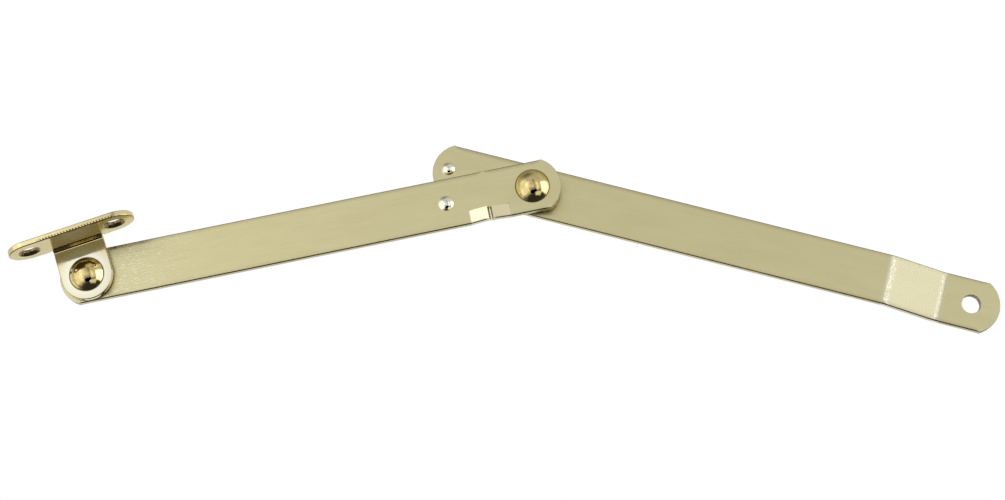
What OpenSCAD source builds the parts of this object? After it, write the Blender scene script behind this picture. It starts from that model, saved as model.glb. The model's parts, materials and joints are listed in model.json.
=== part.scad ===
// Folding friction stay: a screw-on bracket and two flat arms, joined by two riveted friction pivots.
// The origin is the centre of the bracket's screw face, midway between its two screw holes.
// +X runs along the bracket towards the arms, +Z is the screw face's outward normal, and +Y is the
// side that the arms lie on. The stay is drawn part-folded.

/* [Arms] */
// Distance between the pivots of the front arm, and from the centre pivot to the end hole
pivot_span = 120; // [100:5:160]
// Width of the strip that both arms are cut from
arm_width = 13.7; // [13.2:0.1:14.4]
// Thickness of the strip
arm_stock = 2.2; // [1.8:0.1:2.4]
// Radius of the strip's rolled long edges
edge_radius = 0.3; // [0.2:0.05:0.6]
// Radius of the arc that each arm end is cut to
end_radius = 8; // [7.6:0.1:9]
// How far an arm end reaches past its pivot or end hole
end_reach = 7.6; // [7.2:0.1:8]
// How far the rear arm reaches back past the centre pivot
tail_reach = 27.6; // [26.5:0.1:30]
// Diameter of the screw hole at the end of the rear arm
end_hole_d = 5; // [4:0.1:5.6]

/* [Joggle] */
// Distance from the centre pivot to the first bend of the rear arm, as a share of the span
joggle_share = 0.81; // [0.77:0.01:0.81]
// How far the joggle sets the end pad back
joggle_offset = 3.6; // [3.4:0.1:4]
// Slope of the joggle
joggle_angle = 14.2; // [14:0.2:18]

/* [Bracket] */
// Thickness of the bracket's sheet
bracket_stock = 1.5; // [1.3:0.1:1.8]
// Distance between the bracket's screw holes
screw_spacing = 23; // [22:0.5:26]
// Diameter of the bracket's screw holes
screw_hole_d = 4.2; // [3.6:0.1:4.4]
// Depth of the countersinks under the bracket's screw holes
countersink_depth = 0.8; // [0.4:0.1:0.9]
// Radius of the rounded ears around the screw holes
ear_radius = 5.4; // [5:0.1:6]
// Width of the tab that carries the pivot
tab_width = 13.6; // [13:0.1:14]
// Inside radius of the bend between the ears and the tab
tab_bend = 0.8; // [0.5:0.1:1.2]
// Height of the screw face above the bracket pivot
pivot_drop = 10.3; // [10.2:0.1:13]

/* [Rivets and washers] */
// Diameter of the rivets' domed heads
head_d = 8.9; // [8:0.1:9.4]
// Height of the domed heads
head_height = 2.6; // [2:0.1:3]
// Diameter of the rivets' shanks
shank_d = 4.6; // [4:0.1:5]
// Thickness of the friction washer between the bracket's tab and the front arm
bracket_washer_t = 0.6; // [0.5:0.05:0.8]
// Thickness of the friction washer between the two arms
centre_washer_t = 1.4; // [1.2:0.05:1.6]
// Outer diameter of the washers
washer_d = 10; // [9:0.1:11]

/* [Lug and detent] */
// Height of the lug lanced in the front arm's lower edge
lug_height = 3.8; // [3.4:0.1:4.4]
// Angle that the lug's long flap is bent forwards
long_flap_angle = 15; // [12:1:20]
// Angle that the lug's short flap is bent forwards
short_flap_angle = 12; // [8:1:16]
// Distance of the detent dimples from the centre pivot
dimple_reach = 23.5; // [22.5:0.5:24]
// Diameter of the front arm's dimple
dimple_d = 4; // [3.8:0.1:4.4]
// Diameter of the rear arm's dimple, which the front arm's hollow takes
tail_dimple_d = 3.4; // [3:0.1:3.6]
// Height of the dimples
dimple_height = 0.8; // [0.5:0.05:0.9]

/* [Position] */
// Slope of the front arm below the bracket's screw face
front_slope = 7.5; // [0:0.1:60]
// Fold of the rear arm away from the line of the front arm
rear_fold = 26.7; // [0:0.1:110]

/* [Hidden] */
$fn = 64;

// Play between a shank and the hole that turns on it, and between faces that slide
shank_play = 0.05;
face_play = 0.03;
// Reach of a cutting shape past the face that it opens
cut_over = 1;

// Thickness of a spring washer's sheet, and its height over the dish
spring_t = 0.5;
spring_height = 0.9;
backing_t = 0.8;
// The rivets' peened tails
tail_d = 7.4;
tail_height = 1.2;

// Gap that a lancing cut leaves
shear_gap = 0.15;
// The lug's flaps: how far their bend lines are from the centre pivot, and their lengths
long_flap_x = 17.4;
long_flap_length = 4.55;
short_flap_x = 7.3;
short_flap_length = 4.7;

// Y of each layer's front face, from the bracket's tab backwards
tab_y = ear_radius + 0.3;
bracket_washer_y = tab_y + bracket_stock;
front_arm_y = bracket_washer_y + bracket_washer_t + face_play;
centre_washer_y = front_arm_y + arm_stock;
rear_arm_y = centre_washer_y + centre_washer_t + face_play;
bracket_spring_y = front_arm_y + arm_stock + face_play;
centre_spring_y = rear_arm_y + arm_stock + face_play;

// Y where the bracket's bend begins, and the width of the relief cut in the ears beside it
bend_y = tab_y - tab_bend;
relief_w = 0.4;

brass_satin = [0.78, 0.75, 0.57];
brass_bright = [0.84, 0.76, 0.50];
steel_bright = [0.72, 0.71, 0.66];
fibre_dark = [0.20, 0.17, 0.14];

// Puts its children in the frame of the bracket pivot: origin on the pivot at the tab's front face
module at_bracket_pivot() translate([0, tab_y, -pivot_drop]) children();

// Puts its children in the front arm's frame: +X from the bracket pivot to the centre pivot,
// Y = 0 on the arm's front face
module at_front_arm() translate([0, front_arm_y, -pivot_drop]) rotate([0, front_slope, 0]) children();

// The same frame, moved to the centre pivot
module at_centre_pivot() at_front_arm() translate([pivot_span, 0, 0]) children();

// The rear arm's frame: +X from the centre pivot to the end hole, Y = 0 on the arm's front face
module at_rear_arm() {
    at_centre_pivot() rotate([0, rear_fold, 0]) translate([0, rear_arm_y - front_arm_y, 0]) children();
}

// Cross-section of the strip: thickness along x from 0, width along y about the middle
module strip_section() {
    core_w = arm_width - 2 * edge_radius;
    core_t = arm_stock - 2 * edge_radius;
    translate([0, -core_w / 2]) square([arm_stock, core_w]);
    translate([edge_radius, -arm_width / 2]) square([core_t, arm_width]);
    for (x = [edge_radius, arm_stock - edge_radius], side = [-1, 1])
        translate([x, side * core_w / 2]) circle(r = edge_radius);
}

// A straight length of strip from x = from to x = to
module strip(from, to) {
    translate([from, 0, 0]) rotate([90, 0, 90]) linear_extrude(to - from) strip_section();
}

// A strip from x = from to x = to that slopes towards +Y about the middle of its thickness at x = bend_x
module sloped_strip(bend_x, from, to) {
    middle = [bend_x, arm_stock / 2, 0];
    translate(middle) rotate(joggle_angle) translate(-middle) strip(from, to);
}

// All that lies past the mitre plane of a joggle bend: ahead of it for side = 1, behind it for side = -1
module past_mitre(x, y, side) {
    reach = 2 * pivot_span;
    translate([x, y, 0]) rotate(joggle_angle / 2) translate([side * reach / 2, 0, 0])
        cube(reach, center = true);
}

// What the cut at an arm's end takes away, for an end whose tip is at x = tip and points along side
module end_cut(tip, side) {
    cut_y = 4 * arm_stock + joggle_offset;
    arc_x = tip - side * end_radius;
    difference() {
        translate([arc_x + side * end_radius, 0, 0])
            cube([2 * end_radius, 2 * cut_y, arm_width + 2 * cut_over], center = true);
        translate([arc_x, 0, 0]) rotate([90, 0, 0]) cylinder(r = end_radius, h = 3 * cut_y, center = true);
    }
}

// A round hole along Y, from y = from to y = to
module hole_y(x, d, from, to) {
    translate([x, to + cut_over, 0]) rotate([90, 0, 0]) cylinder(d = d, h = to - from + 2 * cut_over);
}

// A domed cap of height h and diameter d, rising towards -Y from its base at y = 0
module cap(d, h, base = 0) {
    sphere_r = (pow(d / 2, 2) + h * h) / (2 * h);
    rotate([90, 0, 0]) rotate_extrude() intersection() {
        translate([0, h - sphere_r]) circle(r = sphere_r);
        translate([0, -base]) square([d, h + base]);
    }
}

// A detent dimple: the strip pushed out to the front, with its hollow at the back
module dimple(x, d) translate([x, 0, 0]) cap(d, dimple_height);
module dimple_hollow(x, d) translate([x, arm_stock, 0]) cap(d, dimple_height + 0.1);

// One flap of the lug, bent forwards from its bend line at x and pointing along side
module flap(x, side, length, angle) {
    along = [side * cos(angle), -sin(angle)];
    through = [side * sin(angle), cos(angle)];
    translate([0, 0, -arm_width / 2]) linear_extrude(lug_height - shear_gap)
        polygon([
            [x, 0],
            [x, 0] + length * along,
            [x, 0] + length * along + arm_stock * through,
            [x, arm_stock]
        ]);
}

module fixing_bracket() color(brass_bright) difference() {
    union() {
        translate([0, 0, -bracket_stock]) linear_extrude(bracket_stock) difference() {
            union() {
                square([screw_spacing, 2 * ear_radius], center = true);
                for (side = [-1, 1]) translate([side * screw_spacing / 2, 0]) circle(r = ear_radius);
            }
            translate([-tab_width / 2 - relief_w, bend_y])
                square([tab_width + 2 * relief_w, 2 * ear_radius]);
        }
        translate([-tab_width / 2, bend_y, -bracket_stock - tab_bend])
            rotate([90, 0, 90]) rotate_extrude(angle = 90)
                translate([tab_bend, 0]) square([bracket_stock, tab_width]);
        tab_height = pivot_drop - bracket_stock - tab_bend;
        at_bracket_pivot() {
            translate([-tab_width / 2, 0, 0]) cube([tab_width, bracket_stock, tab_height]);
            translate([0, bracket_stock, 0]) rotate([90, 0, 0]) cylinder(d = tab_width, h = bracket_stock);
        }
    }
    at_bracket_pivot() hole_y(0, shank_d, 0, bracket_stock);
    for (side = [-1, 1]) translate([side * screw_spacing / 2, 0, -bracket_stock]) {
        translate([0, 0, -cut_over]) cylinder(d = screw_hole_d, h = bracket_stock + 2 * cut_over);
        translate([0, 0, -cut_over]) cylinder(
            d1 = screw_hole_d + 2 * (countersink_depth + cut_over), d2 = screw_hole_d,
            h = countersink_depth + cut_over
        );
    }
}

module front_arm() color(brass_satin) at_centre_pivot() {
    difference() {
        union() {
            strip(-pivot_span - end_reach, end_reach);
            dimple(-dimple_reach, dimple_d);
        }
        end_cut(-pivot_span - end_reach, -1);
        end_cut(end_reach, 1);
        hole_y(-pivot_span, shank_d + 2 * shank_play, 0, arm_stock);
        hole_y(0, shank_d, 0, arm_stock);
        dimple_hollow(-dimple_reach, dimple_d);
        translate([-long_flap_x, -cut_over, -arm_width / 2 - cut_over])
            cube([long_flap_x - short_flap_x, arm_stock + 2 * cut_over, lug_height + cut_over]);
    }
    flap(-long_flap_x, 1, long_flap_length, long_flap_angle);
    flap(-short_flap_x, -1, short_flap_length, short_flap_angle);
}

module rear_arm() color(brass_satin) at_rear_arm() {
    joggle_x = pivot_span * joggle_share;
    pad_x = joggle_x + joggle_offset / tan(joggle_angle);
    ramp = joggle_offset / sin(joggle_angle);
    middle = arm_stock / 2;
    difference() {
        union() {
            difference() {
                strip(-tail_reach, joggle_x + arm_stock);
                past_mitre(joggle_x, middle, 1);
            }
            difference() {
                sloped_strip(joggle_x, joggle_x - arm_stock, joggle_x + ramp + arm_stock);
                past_mitre(joggle_x, middle, -1);
                past_mitre(pad_x, joggle_offset + middle, 1);
            }
            difference() {
                translate([0, joggle_offset, 0]) strip(pad_x - arm_stock, pivot_span + end_reach);
                past_mitre(pad_x, joggle_offset + middle, -1);
            }
            dimple(-dimple_reach, tail_dimple_d);
        }
        end_cut(-tail_reach, -1);
        end_cut(pivot_span + end_reach, 1);
        hole_y(0, shank_d + 2 * shank_play, 0, arm_stock);
        hole_y(pivot_span, end_hole_d, joggle_offset, joggle_offset + arm_stock);
        dimple_hollow(-dimple_reach, tail_dimple_d);
    }
}

// A rivet from its head's seat at y = 0: domed head, shank, and peened tail behind a stack of height grip
module rivet(grip) {
    cap(head_d, head_height);
    translate([0, grip, 0]) rotate([90, 0, 0]) cylinder(d = shank_d, h = grip);
    translate([0, grip, 0]) mirror([0, 1, 0]) cap(tail_d, tail_height);
}

// A flat washer with its front face at y = 0
module flat_washer(d, t) {
    translate([0, t, 0]) rotate([90, 0, 0]) linear_extrude(t) difference() {
        circle(d = d);
        circle(d = shank_d);
    }
}

// A dished washer whose rim rests forwards at y = 0 and whose eye rests backwards
module spring_washer() {
    rise = spring_height - spring_t;
    rim = washer_d / 2;
    eye = shank_d / 2;
    rotate([-90, 0, 0]) rotate_extrude()
        polygon([[rim, 0], [rim, spring_t], [eye, spring_t + rise], [eye, rise]]);
}

bracket_grip = bracket_spring_y + spring_height + backing_t - tab_y;
centre_grip = centre_spring_y + spring_height + backing_t - front_arm_y;

module bracket_rivet() color(brass_bright) at_bracket_pivot() rivet(bracket_grip);

module bracket_friction_washer() {
    color(fibre_dark) at_bracket_pivot() translate([0, bracket_stock, 0])
        flat_washer(washer_d, bracket_washer_t);
}

module bracket_spring_washer() {
    color(steel_bright) at_bracket_pivot() translate([0, bracket_spring_y - tab_y, 0]) spring_washer();
}

module bracket_backing_washer() {
    color(brass_satin) at_bracket_pivot() translate([0, bracket_grip - backing_t, 0])
        flat_washer(washer_d, backing_t);
}

module centre_rivet() color(brass_bright) at_centre_pivot() rivet(centre_grip);

module centre_friction_washer() {
    color(fibre_dark) at_centre_pivot() translate([0, arm_stock, 0])
        flat_washer(washer_d, centre_washer_t);
}

module centre_spring_washer() {
    color(steel_bright) at_centre_pivot() translate([0, centre_spring_y - front_arm_y, 0]) spring_washer();
}

module centre_backing_washer() {
    color(brass_satin) at_centre_pivot() translate([0, centre_grip - backing_t, 0])
        flat_washer(washer_d, backing_t);
}

fixing_bracket();
front_arm();
rear_arm();
bracket_rivet();
bracket_friction_washer();
bracket_spring_washer();
bracket_backing_washer();
centre_rivet();
centre_friction_washer();
centre_spring_washer();
centre_backing_washer();
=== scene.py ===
import json
import math

import bpy
from mathutils import Matrix, Vector
from mathutils.geometry import delaunay_2d_cdt


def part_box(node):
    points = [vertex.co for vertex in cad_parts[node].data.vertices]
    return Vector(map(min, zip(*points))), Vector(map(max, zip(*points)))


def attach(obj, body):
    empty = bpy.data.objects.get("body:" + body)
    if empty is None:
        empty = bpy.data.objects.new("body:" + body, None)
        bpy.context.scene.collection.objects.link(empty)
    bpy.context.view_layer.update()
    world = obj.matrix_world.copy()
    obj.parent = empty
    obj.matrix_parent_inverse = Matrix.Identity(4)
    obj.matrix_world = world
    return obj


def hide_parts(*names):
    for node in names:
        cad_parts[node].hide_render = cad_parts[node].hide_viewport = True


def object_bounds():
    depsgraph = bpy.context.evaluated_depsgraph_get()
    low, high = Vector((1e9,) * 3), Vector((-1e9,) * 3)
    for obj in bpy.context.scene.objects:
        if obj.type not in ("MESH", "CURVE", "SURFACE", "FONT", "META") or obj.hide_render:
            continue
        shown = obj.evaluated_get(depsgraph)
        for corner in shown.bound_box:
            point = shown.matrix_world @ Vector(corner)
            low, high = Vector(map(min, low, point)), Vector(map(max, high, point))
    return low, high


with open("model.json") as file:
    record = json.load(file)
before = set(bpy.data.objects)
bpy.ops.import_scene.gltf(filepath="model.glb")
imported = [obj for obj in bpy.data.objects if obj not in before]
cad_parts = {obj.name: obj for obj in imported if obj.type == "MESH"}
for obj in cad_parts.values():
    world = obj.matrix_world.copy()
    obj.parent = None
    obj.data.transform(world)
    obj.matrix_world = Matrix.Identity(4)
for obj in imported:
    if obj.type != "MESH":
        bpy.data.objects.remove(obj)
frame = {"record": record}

CAD_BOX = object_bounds()

# ---------------------------------------------------------------- sizes, in millimetres
MM = 0.001

ARM_WIDTH = 13.7
ARM_STOCK = 2.2
ARM_END_RADIUS = 8.0
ARM_END_REACH = 7.6
TAIL_REACH = 27.6
ROLLED_EDGE = 0.34         # rounding of the strip's long edges
EDGE_CROWN = 0.9           # width of the slight fall that rolling leaves beside them
CROWN_ANGLE = math.radians(6)
SHEARED_EDGE = 0.12        # rounding of a cut end
SLIT_EDGE = 0.03           # rounding beside a lancing cut
SLIT = 0.05                # width of a lancing cut

JOGGLE_START = 97.2        # from the centre pivot to the joggle's first bend
JOGGLE_OFFSET = 3.6
JOGGLE_ANGLE = math.radians(14.2)
JOGGLE_RADIUS = 8.0        # of the strip's middle, in each bend

LUG_HEIGHT = 3.8           # at the long flap's bend
LUG_FALL = 0.3             # how much lower the cut is at the short flap's bend
# Each flap's start of bend and free end, as distances from the centre pivot.
LONG_FLAP = (18.1, 12.56)
SHORT_FLAP = (6.8, 12.23)
LONG_FLAP_ANGLE = math.radians(15)
SHORT_FLAP_ANGLE = math.radians(12)
FLAP_BEND = 0.7            # length of the curve at a flap's bend line

DIMPLE_REACH = 23.5
DIMPLE_RADIUS = 2.0        # the front arm's
TAIL_DIMPLE_RADIUS = 1.7   # the rear arm's
DIMPLE_HEIGHT = 0.8
DIMPLE_RIM = 0.12          # half the width of the soft ring around a dimple

BRACKET_STOCK = 1.5
EAR_RADIUS = 5.39
TAB_WIDTH = 13.6
TAB_RELIEF = 0.4
TAB_BEND = 0.8             # inside radius
BRACKET_EDGE = 0.24
COUNTERSINK_DEPTH = 0.8
SHEAR_PITCH = 0.8          # spacing of the shear marks along the flange

HEAD_RADIUS = 4.45
HEAD_HEIGHT = 2.6
SHANK_RADIUS = 2.3
SHANK_PLAY = 0.05
TAIL_RADIUS = 3.7
TAIL_HEIGHT = 1.2
WASHER_EDGE = 0.1


# ---------------------------------------------------------------- places, from the frame
RECORD = frame["record"]
JOINTS = {joint["name"]: joint for joint in RECORD["behaviour"]["joints"]}
MOUNTS = {mount["name"]: mount for mount in RECORD["mounts"]}

BRACKET_PIVOT = Vector(JOINTS["bracket_pivot"]["pos_m"]) / MM
CENTRE_PIVOT = Vector(JOINTS["centre_pivot"]["pos_m"]) / MM
END_HOLE = Vector(MOUNTS["end_screw_hole"]["pos_m"]) / MM
END_HOLE_RADIUS = MOUNTS["end_screw_hole"]["dims"]["r_mm"]
SCREW_SPACING = MOUNTS["bracket_screws"]["dims"]["spacing_x_mm"]
SCREW_HOLE_RADIUS = MOUNTS["bracket_screws"]["dims"]["hole_r_mm"]
SPAN = math.hypot(CENTRE_PIVOT.x - BRACKET_PIVOT.x, CENTRE_PIVOT.z - BRACKET_PIVOT.z)
TAB_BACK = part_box("fixing_bracket")[1].y / MM
BEND_START = TAB_BACK - BRACKET_STOCK - TAB_BEND


# ---------------------------------------------------------------- paths and sheets
def follow(s, bends):
    """Where a path that starts along +x has got to after a length s, and its heading there.
    Each bend is (start along the path, length, angle turned)."""
    x = y = heading = at = 0.0
    for start, length, turn in bends:
        if s <= start:
            break
        x += (start - at) * math.cos(heading)
        y += (start - at) * math.sin(heading)
        part = min(s - start, length)
        radius = length / turn
        after = heading + part / radius
        x += radius * (math.sin(after) - math.sin(heading))
        y += radius * (math.cos(heading) - math.cos(after))
        heading = after
        at = start + part
    return x + (s - at) * math.cos(heading), y + (s - at) * math.sin(heading), heading


def off_path(s, depth, thickness, bends):
    """The point at that depth in a sheet whose middle follows the path. Its front face starts at y = 0."""
    x, y, heading = follow(s, bends)
    rise = depth - thickness / 2
    return x - rise * math.sin(heading), thickness / 2 + y + rise * math.cos(heading)


def spaced(start, end, step):
    """Evenly spaced values from start up to, and not with, end."""
    count = max(1, round(abs(end - start) / step))
    return [start + (end - start) * i / count for i in range(count)]


def circle(centre, radius, count):
    return [(centre[0] + radius * math.cos(2 * math.pi * i / count),
             centre[1] + radius * math.sin(2 * math.pi * i / count)) for i in range(count)]


def outward(points):
    """Outward normals of a counter-clockwise ring, longer at its corners to keep an inset's width."""
    normals = []
    for i, point in enumerate(points):
        back = (Vector(point) - Vector(points[i - 1])).normalized()
        ahead = (Vector(points[(i + 1) % len(points)]) - Vector(point)).normalized()
        mean = Vector((back.y + ahead.y, -back.x - ahead.x))
        if mean.length < 0.2:
            mean = Vector((ahead.y, -ahead.x))
        mean.normalize()
        normals.append(mean / max(0.5, mean.dot(Vector((back.y, -back.x)))))
    return normals


def softened(corners, least_turn=math.radians(12)):
    """The ring with a point near either side of each sharp corner, so that shading turns only there."""
    ring = []
    for i, corner in enumerate(corners):
        here = Vector(corner[:2])
        before = Vector(corners[i - 1][:2]) - here
        after = Vector(corners[(i + 1) % len(corners)][:2]) - here
        sharp = before.angle(-after) > least_turn
        gap = 1.6 * corner[2][0][0]
        if sharp and before.length > 1.8 * gap:
            near = here + before.normalized() * gap
            ring.append((near.x, near.y, corner[2]))
        ring.append(corner)
        if sharp and after.length > 1.8 * gap:
            near = here + after.normalized() * gap
            ring.append((near.x, near.y, corner[2]))
    return ring


def rounded_rim(radius, thickness, crown=0.0, crown_angle=0.0, steps=5):
    """A sheet's edge from its front face to its back face, as (inset, depth, tilt of the surface). The
    face falls away a little over the crown, and the rounding follows."""
    front = []
    for i in range(3):
        part = i / 3
        inset = radius * (1 - math.sin(crown_angle)) + crown * (1 - part)
        front.append((inset, crown * crown_angle * part * part / 2, crown_angle * part))
    fall = crown * crown_angle / 2
    for i in range(steps + 1):
        tilt = crown_angle + (math.pi / 2 - crown_angle) * i / steps
        depth = fall + radius * (math.cos(crown_angle) - math.cos(tilt))
        front.append((radius * (1 - math.sin(tilt)), depth, tilt))
    return front + [(inset, thickness - depth, math.pi - tilt) for inset, depth, tilt in reversed(front)]


def cut_rim(thickness, radius=SHEARED_EDGE):
    return rounded_rim(radius, thickness, crown=radius / 2)


def tilted(profile):
    """A round hole's wall as (radius, depth, tilt of the surface), from points from front to back."""
    wall = [(*profile[0], 0.0)]
    for before, (radius, depth), after in zip(profile, profile[1:], profile[2:]):
        wall.append((radius, depth, math.atan2(after[1] - before[1], before[0] - after[0])))
    return wall + [(*profile[-1], math.pi)]


def inside(point, ring):
    x, y = point
    hit = False
    for (ax, ay), (bx, by) in zip(ring, ring[1:] + ring[:1]):
        if (ay > y) != (by > y) and x < ax + (bx - ax) * (y - ay) / (by - ay):
            hit = not hit
    return hit


class Sheet:
    """A pressed sheet: an outline with rounded rims, round holes, and a function that bends it into place.
    Its own coordinates are u and v in the plane of the blank, and the depth d from its front face."""

    def __init__(self, name, thickness, place):
        self.name = name
        self.thickness = thickness
        self.place = place
        self.points = []
        self.normals = []
        self.tarnish_and_shade = []
        self.faces = []
        self.rims = []

    def ring(self, flat, depth, tilt, sides, cut=False):
        """Adds a ring of points at one depth, whose surface is tilted from the face towards sides. A cut
        wall is darkened all the way through, and a rolled edge only along its two roundings; the darkening is
        partly tarnish, partly painted shade."""
        first = len(self.points)
        # Edge darkening: partly tarnish, partly painted shade on the walls and roundings.
        tarnish_and_shade = math.sin(tilt) if cut else abs(math.sin(2 * tilt))
        for (u, v), side in zip(flat, sides):
            self.points.append((u, v, depth))
            self.normals.append((side[0] * math.sin(tilt), side[1] * math.sin(tilt), -math.cos(tilt)))
            self.tarnish_and_shade.append(tarnish_and_shade)
        return list(range(first, len(self.points)))

    def wall(self, rings, flip):
        for near, far in zip(rings, rings[1:]):
            for i in range(len(near)):
                j = (i + 1) % len(near)
                quad = (near[i], near[j], far[j], far[i])
                self.faces.append(quad[::-1] if flip else quad)
        self.rims.append((rings[0], rings[-1]))

    def outline(self, corners):
        """corners is a counter-clockwise list of (u, v, rim), where each rim has as many points."""
        corners = softened(corners)
        flat = [corner[:2] for corner in corners]
        normals = outward(flat)
        rings = []
        for step in range(len(corners[0][2])):
            first = len(self.points)
            for (u, v, rim), normal in zip(corners, normals):
                inset, depth, tilt = rim[step]
                point = (u - normal.x * inset, v - normal.y * inset)
                self.ring([point], depth, tilt, [normal.normalized()])
            rings.append(list(range(first, len(self.points))))
        self.wall(rings, False)

    def hole(self, centre, profile, count=64):
        """profile is a list of (radius, depth, tilt) from the front face to the back face."""
        inwards = circle((0, 0), -1, count)
        rings = [self.ring(circle(centre, radius, count), depth, tilt, inwards, cut=True)
                 for radius, depth, tilt in profile]
        self.wall(rings, True)

    def close(self, grid, side):
        """Fills one face: side 0 is the front, at depth 0, and side 1 the back."""
        loops = [rim[side] for rim in self.rims]
        known = [index for loop in loops for index in loop]
        flat = [Vector(self.points[index][:2]) for index in known]
        edges = []
        rings = []
        start = 0
        for loop in loops:
            edges += [(start + i, start + (i + 1) % len(loop)) for i in range(len(loop))]
            rings.append([tuple(point) for point in flat[start:start + len(loop)]])
            start += len(loop)

        def filled(point):
            return inside(point, rings[0]) and not any(inside(point, hole) for hole in rings[1:])

        extra = [point for point in grid if filled(point)]
        extra = self.ring(extra, self.thickness * side, math.pi * side, [(0.0, 0.0)] * len(extra))
        flat += [Vector(self.points[index][:2]) for index in extra]
        known += extra
        out, _, triangles, origins, _, _ = delaunay_2d_cdt(flat, edges, [], 0, 1e-7)
        for triangle in triangles:
            middle = sum((out[i] for i in triangle), Vector((0, 0))) / 3
            if filled(middle):
                face = [known[origins[i][0]] for i in triangle]
                self.faces.append(face[::-1] if side == 0 else face)

    def bent_normal(self, point, normal, step=0.002):
        """The normal that the bent sheet has where the blank has this one."""
        normal = Vector(normal)
        first = normal.orthogonal().normalized()
        second = normal.cross(first)
        sides = []
        for tangent in (first, second):
            ahead = Vector(self.place(*(Vector(point) + tangent * step)))
            behind = Vector(self.place(*(Vector(point) - tangent * step)))
            sides.append(ahead - behind)
        bent = sides[0].cross(sides[1]).normalized()
        return -bent if self.mirrored else bent

    def mirrors(self):
        """Whether place turns the blank's coordinates left-handed."""
        start = Vector(self.points[0])
        sides = []
        for axis in ((0.01, 0, 0), (0, 0.01, 0), (0, 0, 0.01)):
            sides.append(Vector(self.place(*(start + Vector(axis)))) - Vector(self.place(*start)))
        return sides[0].cross(sides[1]).dot(sides[2]) < 0

    def build(self, grid):
        self.close(grid, 0)
        self.close(grid, 1)
        self.mirrored = self.mirrors()
        normals = [self.bent_normal(*pair) for pair in zip(self.points, self.normals)]
        places = [self.place(*point) for point in self.points]
        faces = [face[::-1] for face in self.faces] if self.mirrored else self.faces
        return make_piece(self.name, places, normals, faces, self.points, self.tarnish_and_shade)


def make_piece(name, points, normals, faces, own, tarnish_and_shade):
    """A mesh object from points in millimetres. own is each point's place on the unbent part, which its
    material's grain follows, and the last list is 1 where an edge is darkened: partly tarnish, partly painted
    shade."""
    mesh = bpy.data.meshes.new(name)
    mesh.from_pydata([Vector(p) * MM for p in points], [], faces)
    mesh.validate()
    grain = mesh.attributes.new("grain", "FLOAT_VECTOR", "POINT")
    grain.data.foreach_set("vector", [value for p in own for value in p])
    # Edge darkening attribute: partly tarnish, partly painted shade on the walls and rims.
    dull = mesh.attributes.new("dull", "FLOAT", "POINT")
    dull.data.foreach_set("value", tarnish_and_shade)
    uv = mesh.uv_layers.new(name="grain_uv")
    for loop in mesh.loops:
        u, v, _ = own[loop.vertex_index]
        uv.data[loop.index].uv = (u / ARM_WIDTH, v / ARM_WIDTH)
    mesh.shade_smooth()
    mesh.normals_split_custom_set_from_vertices(normals)
    piece = bpy.data.objects.new(name, mesh)
    bpy.context.scene.collection.objects.link(piece)
    return piece


# ---------------------------------------------------------------- the two arms
def arm_place(origin, towards, front_y):
    """The frame of an arm whose +u runs from origin along towards, with its front face at front_y."""
    along = Vector((towards.x, 0, towards.z)).normalized()
    across = Vector((-along.z, 0, along.x))
    middle = Vector((origin.x, front_y, origin.z))
    return lambda u, v, d: middle + along * u + across * v + Vector((0, d, 0))


def dimple_rise(u, v, radius):
    """How far the sheet is pushed out at (u, v): a round cap with a soft rim, at DIMPLE_REACH."""
    distance = math.hypot(u + DIMPLE_REACH, v)
    if distance >= radius + DIMPLE_RIM:
        return 0.0
    sphere = (radius ** 2 + DIMPLE_HEIGHT ** 2) / (2 * DIMPLE_HEIGHT)
    inner = radius - DIMPLE_RIM
    if distance <= inner:
        return math.sqrt(sphere ** 2 - distance ** 2) - sphere + DIMPLE_HEIGHT
    height = math.sqrt(sphere ** 2 - inner ** 2) - sphere + DIMPLE_HEIGHT
    slope = inner / math.sqrt(sphere ** 2 - inner ** 2) * 2 * DIMPLE_RIM
    part = (radius + DIMPLE_RIM - distance) / (2 * DIMPLE_RIM)
    return (slope - 2 * height) * part ** 3 + (3 * height - slope) * part ** 2


def dimple_rings(radius):
    """Points that carry a dimple's shape: even rings over its cap, and close ones across its rim."""
    rings = [(-DIMPLE_REACH, 0.0)]
    for part in spaced(0.15, 1.0 - DIMPLE_RIM / radius, 0.1):
        rings += circle((-DIMPLE_REACH, 0), radius * part, 16 + round(48 * part))
    for offset in spaced(-DIMPLE_RIM, 1.5 * DIMPLE_RIM, DIMPLE_RIM / 3):
        rings += circle((-DIMPLE_REACH, 0), radius + offset, 72)
    return rings


def long_edge(stations, v, ends, ease=1.2):
    """Points along a rolled edge, whose rounding tapers to a cut's where it meets one of the ends."""
    points = []
    for u in stations:
        part = min(1.0, min(abs(u - end) for end in ends) / ease)
        radius = SLIT_EDGE + (ROLLED_EDGE - SLIT_EDGE) * part
        points.append((u, v, rounded_rim(radius, ARM_STOCK, EDGE_CROWN * part, CROWN_ANGLE)))
    return points


def corner_u(tip, side):
    """Where the arc of an arm's end meets its long edges."""
    half = math.asin(ARM_WIDTH / 2 / ARM_END_RADIUS)
    return tip - side * ARM_END_RADIUS * (1 - math.cos(half))


def end_arc(tip, side, steps=40):
    """The arc that an arm's end is cut to, counter-clockwise, for a tip that points along side."""
    half = math.asin(ARM_WIDTH / 2 / ARM_END_RADIUS)
    middle = tip - side * ARM_END_RADIUS
    arc = []
    for i in range(steps + 1):
        angle = -half + 2 * half * i / steps
        u = middle + side * ARM_END_RADIUS * math.cos(angle)
        arc.append((u, side * ARM_END_RADIUS * math.sin(angle), cut_rim(ARM_STOCK)))
    return arc


def across_rows(stations, rows=5):
    """Inner points in rows across the arm, for the stretches where it bends."""
    reach = ARM_WIDTH / 2 - ROLLED_EDGE - EDGE_CROWN - 0.4
    return [(u, -reach + 2 * reach * row / (rows - 1)) for u in stations for row in range(rows)]


def arm_hole(radius):
    return [(radius + inset, depth, tilt) for inset, depth, tilt in cut_rim(ARM_STOCK)]


LOWER_EDGE = -ARM_WIDTH / 2
UPPER_EDGE = ARM_WIDTH / 2


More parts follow.
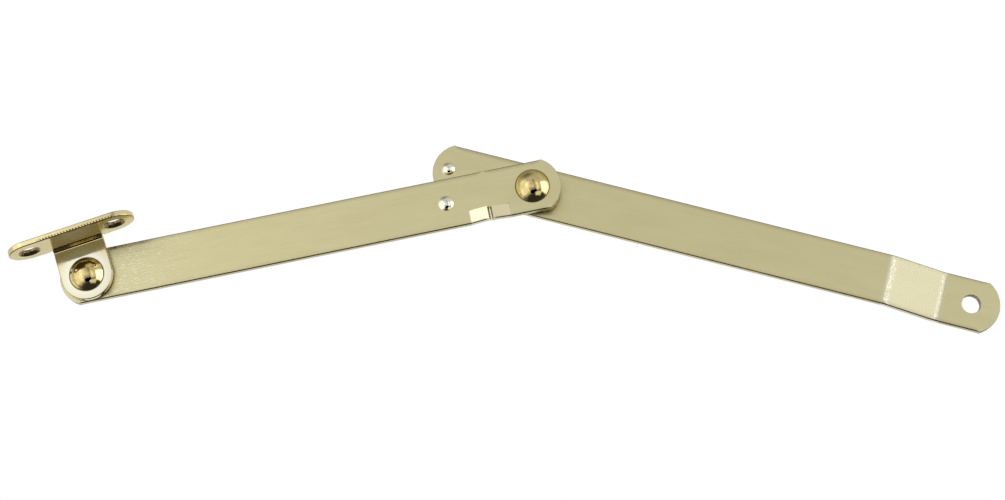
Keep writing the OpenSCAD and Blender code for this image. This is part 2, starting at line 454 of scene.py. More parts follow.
def lug_cut(u):
    """The height of the lancing cut's upper side."""
    part = (u + LONG_FLAP[0]) / (LONG_FLAP[0] - SHORT_FLAP[0])
    return LOWER_EDGE + LUG_HEIGHT - LUG_FALL * part


def front_arm_shape(u, v, d):
    """Bends the front arm's blank: the dimple, and the two flaps of the lug."""
    if v < lug_cut(u) - SLIT / 2 and -LONG_FLAP[0] < u < -SHORT_FLAP[0]:
        if u < -(LONG_FLAP[1] + SHORT_FLAP[1]) / 2:
            x, y = off_path(u + LONG_FLAP[0], d, ARM_STOCK, [(0.0, FLAP_BEND, -LONG_FLAP_ANGLE)])
            return x - LONG_FLAP[0], v, y
        x, y = off_path(-SHORT_FLAP[0] - u, d, ARM_STOCK, [(0.0, FLAP_BEND, -SHORT_FLAP_ANGLE)])
        return -SHORT_FLAP[0] - x, v, y
    return u, v, d - dimple_rise(u, v, DIMPLE_RADIUS)


def lug_outline(ends):
    """The lower edge through the lug, counter-clockwise: long flap, lancing cut, short flap."""
    fine = 0.25
    start, stop = -LONG_FLAP[0], -SHORT_FLAP[0]
    left, right = -LONG_FLAP[1], -SHORT_FLAP[1]
    cut = [(left, v) for v in spaced(LOWER_EDGE, lug_cut(left) - SLIT, 0.5)]
    cut += [(u, lug_cut(u) - SLIT) for u in spaced(left, start, fine)]
    cut += [(u, lug_cut(u)) for u in spaced(start, stop, fine)]
    cut += [(u, lug_cut(u) - SLIT) for u in spaced(stop, right, fine)]
    cut += [(right, v) for v in spaced(lug_cut(right) - SLIT, LOWER_EDGE, 0.5)]
    cut.append((right, LOWER_EDGE))
    slit_rim = cut_rim(ARM_STOCK, SLIT_EDGE)
    corners = long_edge(spaced(start - 0.5, left, fine), LOWER_EDGE, ends)
    corners += [(u, v, slit_rim) for u, v in cut]
    return corners + long_edge(spaced(right, stop + 0.75, fine)[1:], LOWER_EDGE, ends)


def front_arm():
    tail, tip = -SPAN - ARM_END_REACH, ARM_END_REACH
    left, right = corner_u(tail, -1), corner_u(tip, 1)
    ends = (left, right, -LONG_FLAP[1], -SHORT_FLAP[1])
    corners = long_edge(spaced(left, -LONG_FLAP[0] - 0.5, 1.0)[1:], LOWER_EDGE, ends)
    corners += lug_outline(ends)
    corners += long_edge(spaced(-SHORT_FLAP[0] + 0.75, right, 1.0), LOWER_EDGE, ends)
    corners += end_arc(tip, 1)
    corners += long_edge(spaced(right, left, 1.0)[1:], UPPER_EDGE, ends)
    corners += end_arc(tail, -1)

    frame_of = arm_place(CENTRE_PIVOT, CENTRE_PIVOT - BRACKET_PIVOT, BRACKET_PIVOT.y)
    sheet = Sheet("front_arm_strip", ARM_STOCK, lambda u, v, d: frame_of(*front_arm_shape(u, v, d)))
    sheet.outline(corners)
    sheet.hole((-SPAN, 0), arm_hole(SHANK_RADIUS + SHANK_PLAY))
    sheet.hole((0, 0), arm_hole(SHANK_RADIUS))
    grid = dimple_rings(DIMPLE_RADIUS)
    bends = spaced(-LONG_FLAP[0], -LONG_FLAP[0] + 1.5, 0.25)
    bends += spaced(-SHORT_FLAP[0], -SHORT_FLAP[0] - 1.5, 0.25)
    grid += [(u, LOWER_EDGE + height) for u in bends for height in (1.5, 2.2, 2.9)]
    return sheet.build(grid)


def joggle_bends():
    """The joggle's two bends along the rear arm's blank, which meet the ramp at its corners' tangents."""
    arc = JOGGLE_RADIUS * JOGGLE_ANGLE
    tangent = JOGGLE_RADIUS * math.tan(JOGGLE_ANGLE / 2)
    first = JOGGLE_START - tangent
    ramp = JOGGLE_OFFSET / math.sin(JOGGLE_ANGLE) - 2 * tangent
    return [(first, arc, JOGGLE_ANGLE), (first + arc + ramp, arc, -JOGGLE_ANGLE)]


JOGGLE = joggle_bends()


def rear_arm_shape(u, v, d):
    """Bends the rear arm's blank: the dimple and the joggle."""
    x, y = off_path(u, d, ARM_STOCK, JOGGLE)
    return x, v, y - dimple_rise(u, v, TAIL_DIMPLE_RADIUS)


def rear_arm():
    pad_start = JOGGLE[1][0] + JOGGLE[1][1]
    stretch = pad_start - follow(pad_start, JOGGLE)[0]
    tail, tip = -TAIL_REACH, SPAN + ARM_END_REACH + stretch
    left, right = corner_u(tail, -1), corner_u(tip, 1)
    ends = (left, right)
    bends = []
    for start, length, _ in JOGGLE:
        bends += spaced(start - 0.2, start + length + 0.4, 0.2)
    stations = spaced(left, bends[0], 1.0) + bends + spaced(pad_start + 0.4, right, 1.0)
    corners = long_edge(stations[1:], LOWER_EDGE, ends)
    corners += end_arc(tip, 1)
    corners += long_edge(stations[:0:-1], UPPER_EDGE, ends)
    corners += end_arc(tail, -1)

    frame_of = arm_place(CENTRE_PIVOT, END_HOLE - CENTRE_PIVOT, CENTRE_PIVOT.y)
    sheet = Sheet("rear_arm_strip", ARM_STOCK, lambda u, v, d: frame_of(*rear_arm_shape(u, v, d)))
    sheet.outline(corners)
    sheet.hole((0, 0), arm_hole(SHANK_RADIUS + SHANK_PLAY))
    sheet.hole((SPAN + stretch, 0), arm_hole(END_HOLE_RADIUS))
    return sheet.build(dimple_rings(TAIL_DIMPLE_RADIUS) + across_rows(bends))


# ---------------------------------------------------------------- the bracket
BRACKET_MIDDLE = TAB_BEND + BRACKET_STOCK / 2
BRACKET_BENDS = [(BEND_START, BRACKET_MIDDLE * math.pi / 2, math.pi / 2)]
BEND_END = BEND_START + BRACKET_BENDS[0][1]
TAB_PIVOT = BEND_END - BRACKET_PIVOT.z - BRACKET_STOCK / 2 - BRACKET_MIDDLE
EAR_REACH = TAB_WIDTH / 2 + TAB_RELIEF


def bracket_shape(u, v, d):
    """Folds the bracket's blank: u runs along it, v back from the line of its screw holes, and d down
    from its screw face. The tab turns down behind."""
    if v > BEND_START and abs(u) < (TAB_WIDTH + TAB_RELIEF) / 2:
        y, down, heading = follow(v, BRACKET_BENDS)
        rise = d - BRACKET_STOCK / 2
        return Vector((u, y - rise * math.sin(heading),
                       -(BRACKET_STOCK / 2 + down + rise * math.cos(heading))))
    return Vector((u, v, -d))


def arc_points(centre, radius, start, count):
    """A half turn of points, counter-clockwise from an angle in degrees."""
    points = []
    for i in range(count + 1):
        angle = math.radians(start + 180 * i / count)
        points.append((centre[0] + radius * math.cos(angle), centre[1] + radius * math.sin(angle)))
    return points


def bracket_outline():
    ear = SCREW_SPACING / 2
    half = TAB_WIDTH / 2
    corners = arc_points((-ear, 0), EAR_RADIUS, 90, 40)
    corners += arc_points((ear, 0), EAR_RADIUS, -90, 40)
    corners += [(EAR_REACH, EAR_RADIUS), (EAR_REACH, BEND_START), (half, BEND_START)]
    corners += [(half, v) for v in spaced(BEND_START, BEND_END, 0.2)[1:] + [BEND_END]]
    corners += arc_points((0, TAB_PIVOT), half, 0, 56)
    corners += [(-half, v) for v in [BEND_END] + spaced(BEND_END, BEND_START, 0.2)[1:]]
    return corners + [(-half, BEND_START), (-EAR_REACH, BEND_START), (-EAR_REACH, EAR_RADIUS)]


def bracket_rim(u, v):
    """A rounded rim, which is tighter in the relief cuts beside the tab."""
    across = abs(abs(u) - TAB_WIDTH / 2 - TAB_RELIEF / 2)
    tight = across < TAB_RELIEF and BEND_START - 0.1 < v < EAR_RADIUS + 0.1
    return cut_rim(BRACKET_STOCK, 0.08 if tight else BRACKET_EDGE)


def countersunk(radius, depth):
    """A screw hole's wall from the screw face to its countersink below."""
    land = BRACKET_STOCK - depth
    edge = 0.06
    top = [(radius + 2 * edge, 0.0), (radius + edge, edge / 3), (radius + edge / 3, edge), (radius, 2 * edge)]
    neck = [(radius, land - edge), (radius + edge / 2, land + edge)]
    mouth = radius + depth
    rim = [(mouth - edge, BRACKET_STOCK - 1.4 * edge), (mouth, BRACKET_STOCK - edge / 2),
           (mouth + edge, BRACKET_STOCK)]
    return tilted(top + neck + rim)


def bracket():
    sheet = Sheet("bracket_pressing", BRACKET_STOCK, bracket_shape)
    sheet.outline([(u, v, bracket_rim(u, v)) for u, v in bracket_outline()])
    for side in (-1, 1):
        sheet.hole((side * SCREW_SPACING / 2, 0), countersunk(SCREW_HOLE_RADIUS, COUNTERSINK_DEPTH))
    tab_hole = [(SHANK_RADIUS + inset, depth, tilt) for inset, depth, tilt in cut_rim(BRACKET_STOCK)]
    sheet.hole((0, TAB_PIVOT), tab_hole)
    reach = TAB_WIDTH / 2 - 0.8
    rows = spaced(BEND_START - 0.2, BEND_END + 0.4, 0.2)
    return sheet.build([(u, v) for v in rows for u in spaced(-reach, reach + 0.1, 1.2)])


# ---------------------------------------------------------------- turned pieces
def lathe(name, centre, profile, count=112):
    """Turns a profile of (radius, y, edge darkening) about the line along Y through centre; the edge
    darkening is partly tarnish, partly painted shade. A radius of 0 is a pole; a profile that has none is a
    closed ring."""
    solid = profile[0][0] == 0
    points, normals, own, tarnish_and_shade, rings = [], [], [], [], []
    for step, (radius, y, edge_darkness) in enumerate(profile):
        before = profile[step - 1]
        after = profile[(step + 1) % len(profile)]
        tilt = Vector((after[1] - before[1], before[0] - after[0])).normalized()
        if radius == 0:
            tilt = Vector((0.0, -1.0 if step == 0 else 1.0))
        first = len(points)
        for i in range(1 if radius == 0 else count):
            angle = 2 * math.pi * i / count
            x, z = math.cos(angle), math.sin(angle)
            points.append((centre.x + radius * x, y, centre.z + radius * z))
            normals.append((tilt.x * x, tilt.y, tilt.x * z))
            own.append((radius * x, radius * z, y))
            tarnish_and_shade.append(edge_darkness)
        rings.append(list(range(first, len(points))))
    faces = []
    pairs = list(zip(rings, rings[1:]))
    if not solid:
        pairs.append((rings[-1], rings[0]))
    for near, far in pairs:
        for i in range(count):
            j = (i + 1) % count
            if len(near) == 1:
                faces.append((near[0], far[i], far[j]))
            elif len(far) == 1:
                faces.append((near[j], near[i], far[0]))
            else:
                faces.append((near[j], near[i], far[i], far[j]))
    return make_piece(name, points, normals, faces, own, tarnish_and_shade)


def dome(radius, height, base, side, rim=0.14, steps=26):
    """The profile of a domed head from its top to its rim. side is -1 for a head that rises towards -Y."""
    sphere = (radius ** 2 + height ** 2) / (2 * height)
    middle = base + side * (height - sphere)
    top = math.asin((radius - rim) / sphere)
    profile = [(0.0, base + side * height, 0.0)]
    for i in range(1, steps + 1):
        angle = top * i / steps
        profile.append((sphere * math.sin(angle), middle + side * sphere * math.cos(angle), 0.0))
    rise = (profile[-1][1] - base) * side
    # The rim is darkened towards the near-black edge colour: a painted shadow round the dome.
    profile.append((radius - 0.35 * rim, base + side * 0.72 * rise, 1.0))
    profile.append((radius - 0.05 * rim, base + side * 0.42 * rise, 1.0))
    profile.append((radius, base + side * 0.2 * rise, 1.0))
    profile.append((radius - 0.1 * rim, base, 0.5))
    return profile


def rivet(name, node, pivot):
    """A rivet from the box of its CAD node: the domed head is at the front, the peened tail at the back."""
    low, high = (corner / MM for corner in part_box(node))
    seat = low.y + HEAD_HEIGHT
    grip = high.y - TAIL_HEIGHT
    head = dome(HEAD_RADIUS, HEAD_HEIGHT, seat, -1)
    tail = dome(TAIL_RADIUS, TAIL_HEIGHT, grip, 1)
    shank = [(SHANK_RADIUS, seat, 0.0), (SHANK_RADIUS, grip, 0.0)]
    return lathe(name, pivot, head + shank + tail[::-1])


def flat_washer(name, node, pivot):
    low, high = (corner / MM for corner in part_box(node))
    outer = (high.x - low.x) / 2
    edge = WASHER_EDGE
    half = [
        (SHANK_RADIUS, low.y + edge, 0.0),
        (SHANK_RADIUS + edge, low.y, 0.0),
        (outer - edge, low.y, 0.0),
        (outer - edge * 0.3, low.y + edge * 0.3, 1.0),
        (outer, low.y + edge, 1.0),
    ]
    back = [(radius, low.y + high.y - y, edge_darkness) for radius, y, edge_darkness in reversed(half)]
    return lathe(name, pivot, half + back)


def spring_washer(name, node, pivot, sheet=0.5, edge=0.08):
    """A dished washer: its rim rests forwards and its eye backwards."""
    low, high = (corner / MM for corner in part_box(node))
    outer = (high.x - low.x) / 2
    rise = high.y - low.y - sheet
    profile = [
        (SHANK_RADIUS, low.y + rise, 0.0),
        (outer - edge, low.y + edge / 4, 0.5),
        (outer, low.y + edge, 1.0),
        (outer, low.y + sheet - edge, 1.0),
        (outer - edge, low.y + sheet, 0.5),
        (SHANK_RADIUS + edge, high.y, 0.5),
        (SHANK_RADIUS, high.y - edge, 0.5),
    ]
    return lathe(name, pivot, profile)


# ---------------------------------------------------------------- materials
class Nodes:
    """Small helpers for a material's node tree."""

    def __init__(self, name):
        self.material = bpy.data.materials.new(name)
        self.material.use_nodes = True
        self.tree = self.material.node_tree
        self.shader = self.tree.nodes["Principled BSDF"]

    def add(self, kind, **settings):
        node = self.tree.nodes.new(kind)
        for key, value in settings.items():
            setattr(node, key, value)
        return node

    def link(self, source, target):
        self.tree.links.new(source, target)

    def grain(self, scale):
        """The unbent part's own coordinates in millimetres, times scale."""
        source = self.add("ShaderNodeAttribute", attribute_name="grain")
        mapping = self.add("ShaderNodeMapping")
        mapping.inputs["Scale"].default_value = scale
        self.link(source.outputs["Vector"], mapping.inputs["Vector"])
        return mapping.outputs["Vector"]

    def noise(self, scale, detail=4.0, roughness=0.6):
        node = self.add("ShaderNodeTexNoise")
        node.inputs["Scale"].default_value = 1.0
        node.inputs["Detail"].default_value = detail
        node.inputs["Roughness"].default_value = roughness
        self.link(self.grain(scale), node.inputs["Vector"])
        return node.outputs["Fac"]

    def spread(self, value, low, high, out_low, out_high):
        node = self.add("ShaderNodeMapRange")
        node.inputs["From Min"].default_value = low
        node.inputs["From Max"].default_value = high
        node.inputs["To Min"].default_value = out_low
        node.inputs["To Max"].default_value = out_high
        self.link(value, node.inputs["Value"])
        return node.outputs["Result"]

    def math(self, first, second, operation="ADD"):
        node = self.add("ShaderNodeMath", operation=operation)
        self.link(first, node.inputs[0])
        if isinstance(second, (int, float)):
            node.inputs[1].default_value = second
        else:
            self.link(second, node.inputs[1])
        return node.outputs[0]

    def mix(self, factor, first, second):
        node = self.add("ShaderNodeMix", data_type="RGBA")
        self.link(factor, node.inputs["Factor"])
        for socket, colour in ((node.inputs[6], first), (node.inputs[7], second)):
            if isinstance(colour, tuple):
                socket.default_value = (*colour, 1.0)
            else:
                self.link(colour, socket)
        return node.outputs[2]

    # The edge darkening attribute: partly tarnish, partly painted shade.
    def dull(self):
        return self.add("ShaderNodeAttribute", attribute_name="dull").outputs["Fac"]

    def place(self):
        """The place along, across and through the unbent part, in millimetres."""
        source = self.add("ShaderNodeAttribute", attribute_name="grain")
        split = self.add("ShaderNodeSeparateXYZ")
        self.link(source.outputs["Vector"], split.inputs["Vector"])
        return split.outputs["X"], split.outputs["Y"], split.outputs["Z"]

    def band(self, value, low, high, soft):
        """1 between low and high, with soft ends."""
        rise = self.spread(value, low, low + soft, 0.0, 1.0)
        return self.math(rise, self.spread(value, high - soft, high, 1.0, 0.0), "MULTIPLY")

    def disc(self, centre, radius, soft):
        """1 within a radius of a point of the unbent part."""
        u, v, _ = self.place()
        along = self.math(self.math(u, centre[0], "SUBTRACT"), 2.0, "POWER")
        across = self.math(self.math(v, centre[1], "SUBTRACT"), 2.0, "POWER")
        distance = self.math(self.math(along, across), 0.5, "POWER")
        return self.spread(distance, radius - soft, radius, 1.0, 0.0)

    def bump(self, height, strength, distance):
        node = self.add("ShaderNodeBump")
        node.inputs["Strength"].default_value = strength
        node.inputs["Distance"].default_value = distance * MM
        self.link(height, node.inputs["Height"])
        self.link(node.outputs["Normal"], self.shader.inputs["Normal"])


def metal(name, light, dark, edge, roughness, grain, bump, mottle, anisotropy=0.0, sheen_and_marks=None,
          shade_and_marks=None):
    """Plated metal. grain scales the brushed streaks, mottle the slow colour changes, and roughness and
    bump are (least, most) and (strength, depth in millimetres). edge is the dark colour of the darkened
    edges: partly tarnish, partly painted shade. The paler-places mask makes the plate shinier and paints it
    paler: a painted reflection on tilted faces, with some real scratches and crazing. The darker-places
    mask darkens towards edge: painted shade round rivet heads, with real shear marks."""
    nodes = Nodes(name)
    streaks = nodes.noise(grain, 5.0, 0.65)
    clouds = nodes.noise(mottle, 3.0)
    tone = nodes.math(nodes.spread(streaks, 0.3, 0.7, 0.0, 0.6), nodes.spread(clouds, 0.3, 0.7, 0.0, 0.4))
    colour = nodes.mix(tone, light, dark)
    gloss = nodes.spread(streaks, 0.25, 0.75, *roughness)
    if sheen_and_marks:
        mask = sheen_and_marks(nodes)
        # The paler colour is a painted reflection on the flaps, ramp, dimples and tab, and the plate's own
        # colour on scratches and crazing.
        colour = nodes.mix(mask, colour, (0.93, 0.90, 0.72))
        gloss = nodes.math(nodes.spread(mask, 0.0, 1.0, 1.0, 0.35), gloss, "MULTIPLY")
    # Darkening along the edges, broken up by noise: partly tarnish, partly painted shade on the walls and
    # rims.
    broken = nodes.spread(nodes.noise((1.9, 0.3, 0.3), 2.0), 0.4, 0.6, 0.7, 1.0)
    dark_edge = nodes.math(nodes.dull(), broken, "MULTIPLY")
    # Further darkening: painted shade round rivet heads, and real shear marks on the bracket.
    if shade_and_marks:
        dark_edge = nodes.math(dark_edge, shade_and_marks(nodes), "MAXIMUM")
    nodes.link(nodes.mix(dark_edge, colour, edge), nodes.shader.inputs["Base Color"])
    nodes.link(gloss, nodes.shader.inputs["Roughness"])
    nodes.bump(nodes.math(streaks, nodes.spread(clouds, 0.0, 1.0, 0.0, 0.5)), *bump)
    nodes.shader.inputs["Metallic"].default_value = 1.0
    if anisotropy:
        nodes.shader.inputs["Anisotropic"].default_value = anisotropy
        tangent = nodes.add("ShaderNodeTangent", direction_type="UV_MAP", uv_map="grain_uv")
        nodes.link(tangent.outputs["Tangent"], nodes.shader.inputs["Tangent"])
    return nodes.material


def flaps_sheen_and_scratches(nodes):
    """The front arm's paler, shinier places: painted reflections on the two flaps and the dimple, and real
    scratches by the bracket.
    """
    u, v, _ = nodes.place()
    below = nodes.spread(v, lug_cut(-LONG_FLAP[1]) - 0.25, lug_cut(-LONG_FLAP[1]) - 0.05, 1.0, 0.0)
    # The flaps are painted paler: a painted reflection of the light on their tilted faces.
    long_flap = nodes.band(u, -LONG_FLAP[0] + 0.2, -LONG_FLAP[1] + 0.3, 0.3)
    short_flap = nodes.band(u, -SHORT_FLAP[1] - 0.3, -SHORT_FLAP[0], 0.4)
    long_flap = nodes.math(long_flap, 0.5, "MULTIPLY")
    short_flap = nodes.math(short_flap, 0.22, "MULTIPLY")
    either = nodes.math(long_flap, short_flap, "MAXIMUM")
    flaps = nodes.math(either, below, "MULTIPLY")
    near = nodes.band(u, -SPAN - 20.0, -SPAN + 36.0, 24.0)
    scratches = nodes.spread(nodes.noise((0.7, 3.5, 3.5), 4.0, 0.75), 0.52, 0.66, 0.0, 0.9)
    marked = nodes.math(flaps, nodes.math(near, scratches, "MULTIPLY"), "MAXIMUM")
    # The dimple is painted paler: a painted highlight.
    return nodes.math(marked, nodes.disc((-DIMPLE_REACH, 0.0), DIMPLE_RADIUS, 0.2), "MAXIMUM")


def joggle_sheen_and_crazing(nodes):
    """The rear arm's paler, shinier places: painted reflections on the dimple and the ramp, and the real
    crazed plate at the joggle's bends.
    """
    u, _, _ = nodes.place()
    # The ramp is painted paler: a painted reflection on its tilted face.
    ramp = nodes.band(u, JOGGLE[0][0] - 0.3, JOGGLE[1][0] + JOGGLE[1][1] + 0.2, 0.8)
    marked = nodes.math(ramp, 0.33, "MULTIPLY")
    crazing = nodes.spread(nodes.noise((3.6, 0.8, 1.0), 5.0, 0.7), 0.45, 0.56, 0.05, 1.0)
    for start, length, _ in JOGGLE:
        bend = nodes.band(u, start - 0.1, start + length + 0.7, 0.7)
        marked = nodes.math(marked, nodes.math(bend, crazing, "MULTIPLY"), "MAXIMUM")
    # The dimple is painted paler: a painted highlight.
    return nodes.math(marked, nodes.disc((-DIMPLE_REACH, 0.0), TAIL_DIMPLE_RADIUS, 0.2), "MAXIMUM")


def pivot_painted_shade(nodes):
    """Painted shade: a thin dark line round the centre rivet's head, where it sits on the arm."""
    return nodes.math(nodes.disc((0.0, 0.0), HEAD_RADIUS + 0.28, 0.14), 0.85, "MULTIPLY")


def bracket_shade_and_shear_marks(nodes):
    """Painted shade as a dark line round the bracket rivet's head, and real shear marks along the flange's
    lower front edge.
    """
    u, v, depth = nodes.place()
    # Painted shade: a dark ring round the rivet head.
    line = nodes.math(nodes.disc((0.0, TAB_PIVOT), HEAD_RADIUS + 0.30, 0.14), 0.9, "MULTIPLY")
    low = nodes.spread(depth, 0.55 * BRACKET_STOCK, 0.7 * BRACKET_STOCK, 0.0, 1.0)
    front = nodes.spread(v, 0.08 - EAR_RADIUS, 0.30 - EAR_RADIUS, 1.0, 0.0)
    along = nodes.band(u, -SCREW_SPACING / 2 + 3.0, SCREW_SPACING / 2 + 3.0, 2.0)
    wave = nodes.math(nodes.math(u, 2 * math.pi / SHEAR_PITCH, "MULTIPLY"), 0.0, "SINE")
    uneven = nodes.spread(nodes.noise((0.9, 0.2, 0.4), 2.0), 0.3, 0.7, -0.5, 0.5)
    teeth = nodes.spread(nodes.math(wave, uneven), -0.35, 0.35, 0.0, 0.95)
    marks = nodes.math(nodes.math(low, front, "MULTIPLY"), nodes.math(along, teeth, "MULTIPLY"), "MULTIPLY")
    return nodes.math(line, marks, "MAXIMUM")


def tab_painted_sheen(nodes):
    """The tab's flat face, down from its bend, painted paler: a painted reflection on the bright tab."""
    return nodes.disc((0.0, TAB_PIVOT), TAB_WIDTH / 2 + 1.6, 3.0)


def arm_material(name, sheen_and_marks, shade_and_marks=None):
    # edge is the near-black colour of the darkened edges: partly tarnish, partly painted shade on the side
    # walls.
    return metal(name, light=(0.80, 0.73, 0.43), dark=(0.68, 0.61, 0.33), edge=(0.12, 0.085, 0.035),
                 roughness=(0.27, 0.42), grain=(0.10, 5.0, 5.0), bump=(0.25, 0.012), mottle=(0.05, 0.2, 0.2),
                 anisotropy=0.4, sheen_and_marks=sheen_and_marks, shade_and_marks=shade_and_marks)


def bracket_material():
    return metal("bright_brass_plate", light=(0.92, 0.81, 0.45), dark=(0.74, 0.60, 0.28),
                 edge=(0.14, 0.09, 0.03), roughness=(0.10, 0.22), grain=(1.6, 1.6, 1.6), bump=(0.2, 0.01),
                 mottle=(0.3, 0.3, 0.3), sheen_and_marks=tab_painted_sheen, shade_and_marks=bracket_shade_and_shear_marks)


def rivet_material():
    # The near-black edge colour paints the shadow round each dome's rim.
    return metal("polished_brass_plate", light=(0.87, 0.74, 0.36), dark=(0.52, 0.38, 0.13),
                 edge=(0.08, 0.05, 0.02), roughness=(0.06, 0.16), grain=(1.4, 1.4, 1.4), bump=(0.3, 0.02),
                 mottle=(0.35, 0.35, 0.35))


def washer_material():
    return metal("plated_washer", light=(0.82, 0.74, 0.42), dark=(0.66, 0.57, 0.29), edge=(0.30, 0.23, 0.11),
                 roughness=(0.22, 0.38), grain=(3.0, 3.0, 3.0), bump=(0.2, 0.01), mottle=(0.4, 0.4, 0.4))


def spring_material():
    return metal("spring_steel", light=(0.62, 0.61, 0.58), dark=(0.42, 0.41, 0.40), edge=(0.22, 0.21, 0.20),
                 roughness=(0.20, 0.36), grain=(2.5, 2.5, 2.5), bump=(0.2, 0.01), mottle=(0.5, 0.5, 0.5))


def fibre_material():
    nodes = Nodes("dark_fibre")
    fibres = nodes.noise((6.0, 6.0, 2.0), 6.0, 0.7)
    tone = nodes.spread(fibres, 0.3, 0.7, 0.0, 1.0)
    nodes.link(nodes.mix(tone, (0.055, 0.038, 0.022), (0.12, 0.085, 0.05)), nodes.shader.inputs["Base Color"])
    nodes.link(nodes.spread(fibres, 0.2, 0.8, 0.65, 0.9), nodes.shader.inputs["Roughness"])
    nodes.bump(fibres, 0.4, 0.03)
    return nodes.material


# ---------------------------------------------------------------- the stay
def finish_piece(piece, node, body, material):
    piece.data.materials.append(material)
    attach(piece, body)
    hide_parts(node)


def build_stay():
    rivets, plate = rivet_material(), washer_material()
    spring, fibre = spring_material(), fibre_material()
    finish_piece(bracket(), "fixing_bracket", "bracket", bracket_material())
    front_plate = arm_material("satin_brass_plate_front", flaps_sheen_and_scratches, pivot_painted_shade)
    rear_plate = arm_material("satin_brass_plate_rear", joggle_sheen_and_crazing)
    finish_piece(front_arm(), "front_arm", "front_link", front_plate)
    finish_piece(rear_arm(), "rear_arm", "rear_link", rear_plate)
    pivots = (("bracket", BRACKET_PIVOT, "bracket"), ("centre", CENTRE_PIVOT, "front_link"))
    for pivot, place, body in pivots:
        stack = (
            (rivet, "rivet", "rivets", rivets),
            (flat_washer, "friction_washer", "friction_washers", fibre),
            (spring_washer, "spring_washer", "spring_washers", spring),
            (flat_washer, "backing_washer", "backing_washers", plate),
        )
        for make, kind, slot, material in stack:
            node = f"{pivot}_{kind}"
            finish_piece(make(f"{node}_body", node, place), node, body, material)


# ---------------------------------------------------------------- camera, floor and light
CAMERA_AZIMUTH = math.radians(-3.67)
CAMERA_ELEVATION = math.radians(-14.86)
CAMERA_ROLL = math.radians(19.73)
CAMERA_DISTANCE = 0.44925
CAMERA_TARGET = Vector((0.1057, 0.008, -0.0400))
FOCAL_PIXELS = 1700.0
FRAME_PIXELS = 1005.0
FLOOR_BELOW = 0.20


def look(azimuth, elevation, roll, distance, target):
    back = Vector((math.sin(azimuth) * math.cos(elevation), -math.cos(azimuth) * math.cos(elevation),
                   math.sin(elevation)))
    right = Vector((math.cos(azimuth), math.sin(azimuth), 0))
    up = back.cross(right)
    turned_right = right * math.cos(roll) - up * math.sin(roll)
    turned_up = right * math.sin(roll) + up * math.cos(roll)
    turn = Matrix((turned_right, turned_up, back)).transposed().to_4x4()
    return Matrix.Translation(target + back * distance) @ turn


def add_camera():
    data = bpy.data.cameras.new("photo_camera")
    data.sensor_width = 36.0
    data.lens = FOCAL_PIXELS / FRAME_PIXELS * data.sensor_width
    camera = bpy.data.objects.new("photo_camera", data)
    angles = (CAMERA_AZIMUTH, CAMERA_ELEVATION, CAMERA_ROLL)
    camera.matrix_world = look(*angles, CAMERA_DISTANCE, CAMERA_TARGET)
    bpy.context.scene.collection.objects.link(camera)
    bpy.context.scene.camera = camera


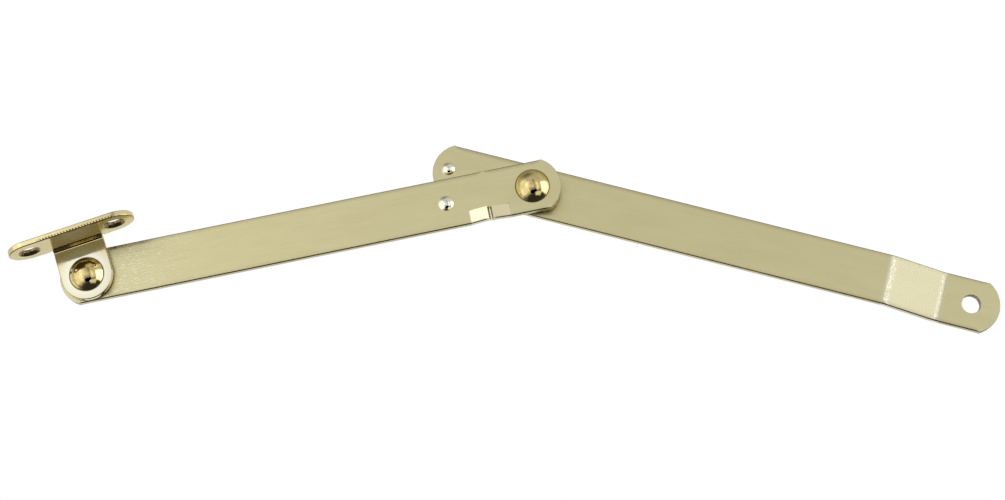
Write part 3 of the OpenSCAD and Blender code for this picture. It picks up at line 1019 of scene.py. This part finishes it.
class Studio:
    """The world's node tree: a soft surround that reflections and light see, and white for the camera."""

    def __init__(self):
        self.world = bpy.data.worlds.new("studio")
        self.world.use_nodes = True
        self.tree = self.world.node_tree
        direction = self.tree.nodes.new("ShaderNodeTexCoord")
        split = self.tree.nodes.new("ShaderNodeSeparateXYZ")
        self.tree.links.new(direction.outputs["Generated"], split.inputs["Vector"])
        self.right = split.outputs["X"]
        self.back = split.outputs["Y"]
        self.height = split.outputs["Z"]
        forwards = self.math("MULTIPLY", self.back, -1.0)
        self.azimuth = self.math("ARCTAN2", self.right, forwards)
        self.elevation = self.math("ARCSINE", self.height)

    def math(self, operation, first, second=None):
        node = self.tree.nodes.new("ShaderNodeMath")
        node.operation = operation
        for socket, value in zip(node.inputs, (first, second)):
            if isinstance(value, (int, float)):
                socket.default_value = value
            elif value is not None:
                self.tree.links.new(value, socket)
        return node.outputs[0]

    def step(self, value, start, end):
        """A soft step from 0 at start to 1 at end, in degrees."""
        node = self.tree.nodes.new("ShaderNodeMapRange")
        node.interpolation_type = "SMOOTHSTEP"
        node.inputs["From Min"].default_value = math.radians(start)
        node.inputs["From Max"].default_value = math.radians(end)
        self.tree.links.new(value, node.inputs["Value"])
        return node.outputs["Result"]

    def window(self, value, low, high, soft):
        rise = self.step(value, low - soft / 2, low + soft / 2)
        fall = self.step(value, high + soft / 2, high - soft / 2)
        return self.math("MULTIPLY", rise, fall)

    def panel(self, azimuths, elevations, soft, strength):
        """A soft-edged light panel between two azimuths and two elevations, in degrees."""
        across = self.window(self.azimuth, *azimuths, soft)
        up = self.window(self.elevation, *elevations, soft)
        return self.math("MULTIPLY", self.math("MULTIPLY", across, up), strength)

    def gradient(self, stops):
        """A level that follows the elevation, from (degrees, level) stops."""
        ramp = self.tree.nodes.new("ShaderNodeValToRGB")
        part = self.math("DIVIDE", self.math("ADD", self.elevation, math.pi / 2), math.pi)
        self.tree.links.new(part, ramp.inputs["Fac"])
        ramp.color_ramp.elements.remove(ramp.color_ramp.elements[1])
        for i, (degrees, value) in enumerate(stops):
            place = (degrees + 90) / 180
            stop = ramp.color_ramp.elements[0] if i == 0 else ramp.color_ramp.elements.new(place)
            stop.position = place
            stop.color = (value, value, value, 1.0)
        return ramp.outputs["Color"]

    def finish(self, level):
        background = self.tree.nodes["Background"]
        self.tree.links.new(level, background.inputs["Strength"])
        background.inputs["Color"].default_value = (0.985, 0.99, 1.0, 1.0)
        white = self.tree.nodes.new("ShaderNodeBackground")
        white.inputs["Color"].default_value = (1.0, 1.0, 1.0, 1.0)
        path = self.tree.nodes.new("ShaderNodeLightPath")
        mix = self.tree.nodes.new("ShaderNodeMixShader")
        self.tree.links.new(path.outputs["Is Camera Ray"], mix.inputs["Fac"])
        self.tree.links.new(background.outputs["Background"], mix.inputs[1])
        self.tree.links.new(white.outputs["Background"], mix.inputs[2])
        self.tree.links.new(mix.outputs["Shader"], self.tree.nodes["World Output"].inputs["Surface"])
        bpy.context.scene.world = self.world


def add_world():
    studio = Studio()
    level = studio.gradient((
        (-90, 0.04), (-50, 0.04), (-32, 0.20), (-20, 0.80), (2, 0.90),
        (13, 0.76), (30, 0.68), (60, 0.55), (76, 0.30), (90, 0.15),
    ))
    for panel in (
        studio.panel((-80, -26), (-38, 55), 12, 0.45),
        studio.panel((-40, -10), (4, 36), 10, 0.45),
        studio.panel((56, 100), (-38, 12), 12, 2.4),
        studio.panel((6, 60), (-60, -38), 12, 0.9),
        studio.panel((22, 36), (-30, 16), 6, 0.34),
        studio.panel((-22, 20), (-38, -10), 14, -0.50),
        studio.panel((6, 24), (-10, 40), 12, -0.14),
        studio.panel((13, 22), (-10, 40), 6, -0.20),
    ):
        level = studio.math("ADD", level, panel)
    studio.finish(level)


def add_floor():
    low, high = CAD_BOX
    z = low[2] - FLOOR_BELOW
    half = 3.0
    mesh = bpy.data.meshes.new("floor")
    corners = [(-half, -half, z), (half, -half, z), (half, half, z), (-half, half, z)]
    mesh.from_pydata(corners, [], [(0, 1, 2, 3)])
    floor = bpy.data.objects.new("floor", mesh)
    bpy.context.scene.collection.objects.link(floor)
    nodes = Nodes("pale_floor")
    nodes.shader.inputs["Base Color"].default_value = (0.93, 0.93, 0.92, 1.0)
    nodes.shader.inputs["Roughness"].default_value = 0.9
    mesh.materials.append(nodes.material)
    floor.visible_glossy = False


def build_studio():
    add_camera()
    add_world()
    add_floor()
    bpy.context.scene.view_settings.view_transform = "Standard"


build_stay()
build_studio()
